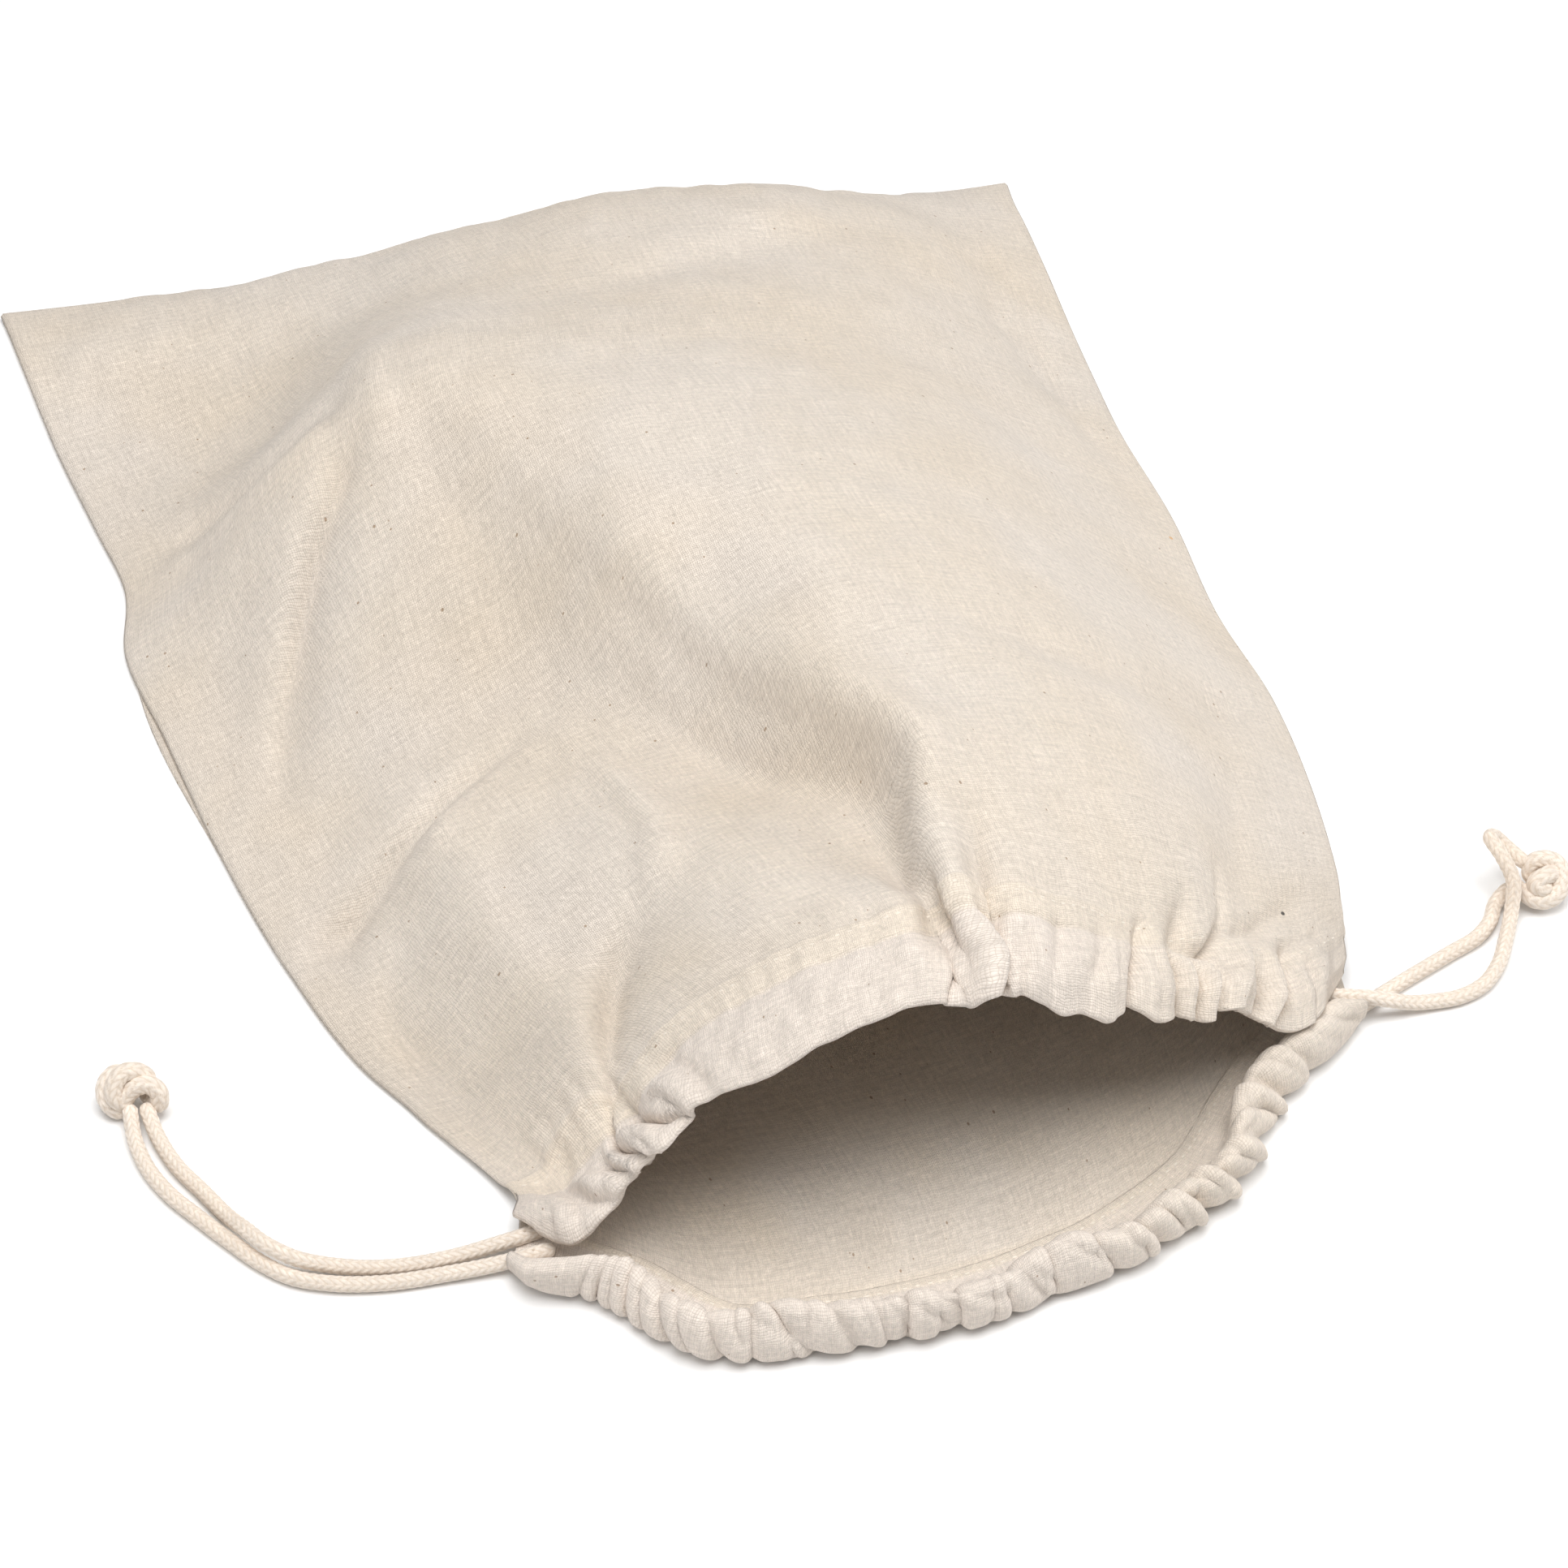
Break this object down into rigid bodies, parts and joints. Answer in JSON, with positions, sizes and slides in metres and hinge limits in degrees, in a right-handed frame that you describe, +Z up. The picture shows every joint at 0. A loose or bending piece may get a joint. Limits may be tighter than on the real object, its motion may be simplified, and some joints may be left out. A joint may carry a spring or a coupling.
{
  "type": "drawstring bread bag",
  "caption": "Undyed cloth bread bag lying on its back with its gathered mouth open, closed by drawcords that leave both sides and are knotted.",
  "frame": {"origin": "bottom centre of the bag's own box, without its free cords, on the surface that it lies on", "axes": "+X across the bag, +Y from the mouth to the far end, +Z up"},
  "size_m": [0.3815, 0.4466, 0.0925],
  "materials": {
    "cloth": "undyed plain-weave cotton, matt, with small dark seed flecks",
    "cord": "undyed braided cotton cord, matt"
  },
  "bodies": {
    "root": {"front_panel": "cloth", "back_panel": "cloth", "left_cord_over": "cord", "left_cord_under": "cord", "right_cord_over": "cord", "right_cord_under": "cord", "left_knot": "cord", "right_knot": "cord"}
  },
  "joints": []
}
